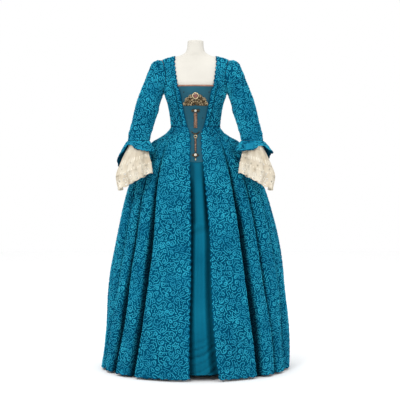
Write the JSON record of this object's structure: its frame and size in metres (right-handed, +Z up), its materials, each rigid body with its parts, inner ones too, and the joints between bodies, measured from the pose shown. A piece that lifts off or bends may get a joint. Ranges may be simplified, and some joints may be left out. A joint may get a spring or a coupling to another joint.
{
  "type": "evening gown on dress form",
  "caption": "Full-skirted court gown in corded teal lace with satin stomacher, elbow sleeves and lace cuffs, worn by a limbless dress form on a stand.",
  "frame": {"origin": "on the floor, at the middle of the overall box", "axes": "+Z up, -Y the gown's front, +X the viewer's right when facing the front"},
  "size_m": [0.8817, 0.7666, 1.543],
  "materials": {
    "corded_lace": "teal lace with a raised corded pattern over a darker ground",
    "satin": "plain teal satin with a soft sheen",
    "binding": "copper-brown bound edge",
    "cream_lace": "cream lace with cut eyelets",
    "ornament_metal": "aged brass, darkened in the hollows",
    "red_stone": "dark red polished stone",
    "pale_stone": "pale polished stone",
    "form_cover": "off-white cotton jersey cover",
    "stand_steel": "satin grey painted steel"
  },
  "bodies": {
    "root": {"bodice_front_left": "corded_lace", "bodice_front_right": "corded_lace", "bodice_back_left": "corded_lace", "bodice_back_right": "corded_lace", "sleeve_left": "corded_lace", "sleeve_right": "corded_lace", "sleeve_flounce_left": "corded_lace", "sleeve_flounce_right": "corded_lace", "skirt_front_left": "corded_lace", "skirt_front_right": "corded_lace", "skirt_side_left": "corded_lace", "skirt_side_right": "corded_lace", "skirt_back_left": "corded_lace", "skirt_back_right": "corded_lace", "skirt_centre_back_left": "corded_lace", "skirt_centre_back_right": "corded_lace", "stomacher": "satin", "petticoat_front": "satin", "neckline_binding": "binding", "lace_cuff_front_left": "cream_lace", "lace_cuff_back_left": "cream_lace", "lace_cuff_front_right": "cream_lace", "lace_cuff_back_right": "cream_lace", "brooch_fan": "ornament_metal", "brooch_ring": "ornament_metal", "brooch_stone": "red_stone", "link_bow": "ornament_metal", "link_pearl": "pale_stone", "bar_upper": "ornament_metal", "crescent_link": "ornament_metal", "small_loop": "ornament_metal", "bar_lower": "ornament_metal", "drop_mount": "ornament_metal", "drop_stone": "pale_stone", "drop_tip": "ornament_metal", "form_torso": "form_cover", "form_pole": "stand_steel", "form_base": "stand_steel"}
  },
  "joints": []
}
